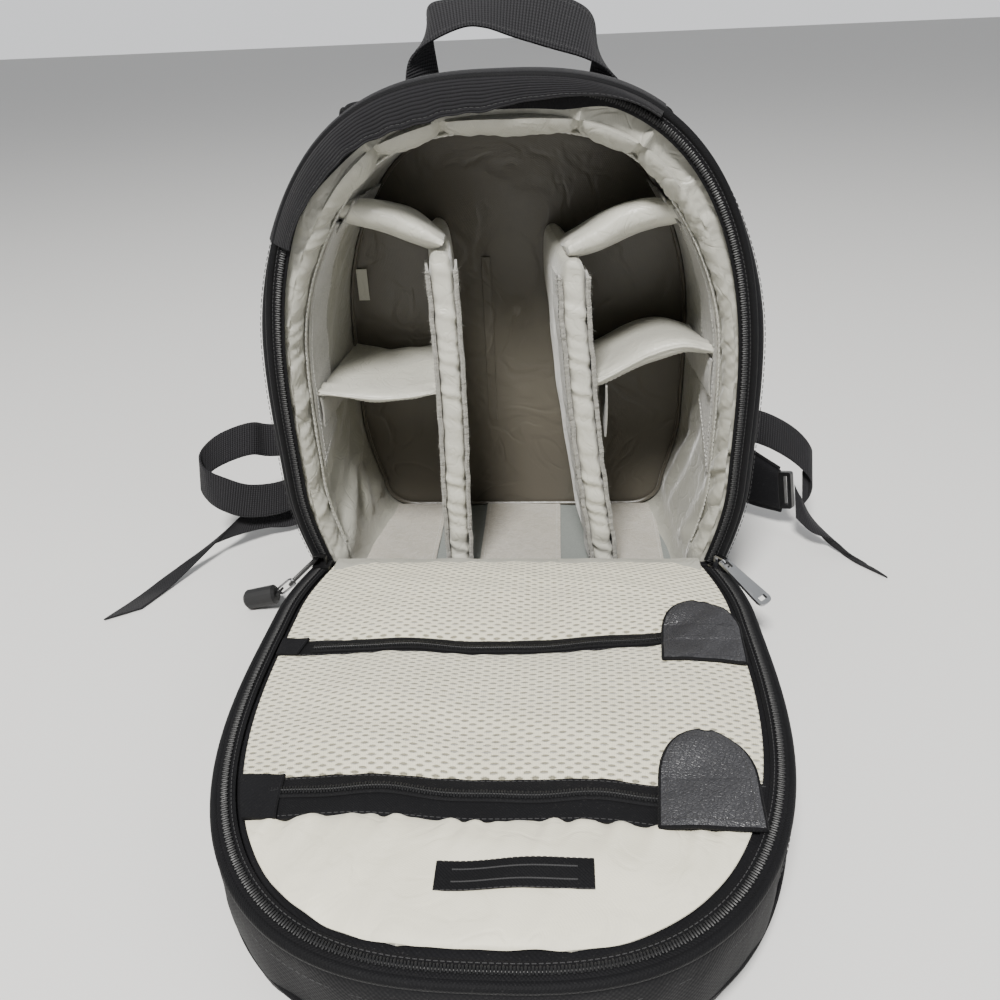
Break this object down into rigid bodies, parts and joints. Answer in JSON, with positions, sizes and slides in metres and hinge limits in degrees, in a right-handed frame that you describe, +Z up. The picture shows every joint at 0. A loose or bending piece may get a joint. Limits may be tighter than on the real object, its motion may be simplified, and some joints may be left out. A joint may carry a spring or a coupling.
{
  "type": "camera backpack",
  "caption": "Open padded camera backpack: arched body with dividers, zipped front lid with mesh pockets lying forward, carrying handle, shoulder straps and webbing.",
  "frame": {"origin": "centre of the flat underside of the upright body", "axes": "+Z up, -Y out of the open front towards the lid, +X to the right when looking into the opening"},
  "size_m": [0.5568, 0.4801, 0.3693],
  "materials": {
    "black_fabric": "woven, matt",
    "grey_satin": "satin lining with soft sheen",
    "dark_lining": "smooth dark lining",
    "loop_fabric": "fuzzy loop pile",
    "air_mesh": "knitted mesh with small holes",
    "cream_satin": "satin",
    "leather": "grained, half gloss",
    "webbing": "ribbed webbing",
    "black_plastic": "satin",
    "dark_chrome": "dark polished",
    "grey_metal": "cast, satin",
    "rubber": "satin"
  },
  "bodies": {
    "bag": {"outer_shell": "black_fabric", "wall_padding": "grey_satin", "floor_padding": "grey_satin", "back_padding": "dark_lining", "wall_loop_left": "loop_fabric", "wall_loop_right": "loop_fabric", "floor_loop_left": "loop_fabric", "floor_loop_centre": "loop_fabric", "floor_loop_right": "loop_fabric", "divider_long_left": "grey_satin", "divider_long_right": "grey_satin", "divider_top_left": "grey_satin", "divider_top_right": "grey_satin", "divider_mid_left": "grey_satin", "divider_mid_right": "grey_satin", "zip_body": "black_fabric", "rain_flap": "black_fabric", "lid_shell": "black_fabric", "lid_pad": "black_fabric", "zip_lid": "black_fabric", "hinge_strip": "grey_satin", "mesh_pocket_upper": "air_mesh", "pocket_zip_upper": "black_fabric", "mesh_pocket_lower": "air_mesh", "pocket_zip_lower": "black_fabric", "satin_panel": "cream_satin", "leather_patch_upper": "leather", "leather_patch_lower": "leather", "woven_label": "black_fabric", "slider_left": "black_plastic", "slider_right": "dark_chrome", "handle": "webbing", "back_panel": "black_fabric", "shoulder_strap_left": "black_fabric", "strap_end_left": "black_plastic", "shoulder_strap_right": "black_fabric", "strap_end_right": "black_plastic", "webbing_loop_left": "webbing", "webbing_loop_right": "webbing", "webbing_tail_left": "webbing", "webbing_tail_right": "webbing"},
    "left_pull": {"pull_tab_left": "dark_chrome", "pull_link_left": "dark_chrome", "pull_barrel_left": "rubber"},
    "right_pull": {"pull_tab_right": "grey_metal"}
  },
  "joints": [
    {"name": "left_pull_lift", "type": "hinge", "parent": "bag", "child": "left_pull", "pos_m": [-0.133, -0.073, 0.0509], "axis": [0.1, 0.995, 0], "range_deg": [0, 75]},
    {"name": "right_pull_lift", "type": "hinge", "parent": "bag", "child": "right_pull", "pos_m": [0.135, -0.077, 0.0509], "axis": [-0.7331, -0.6801, 0], "range_deg": [0, 95]}
  ]
}
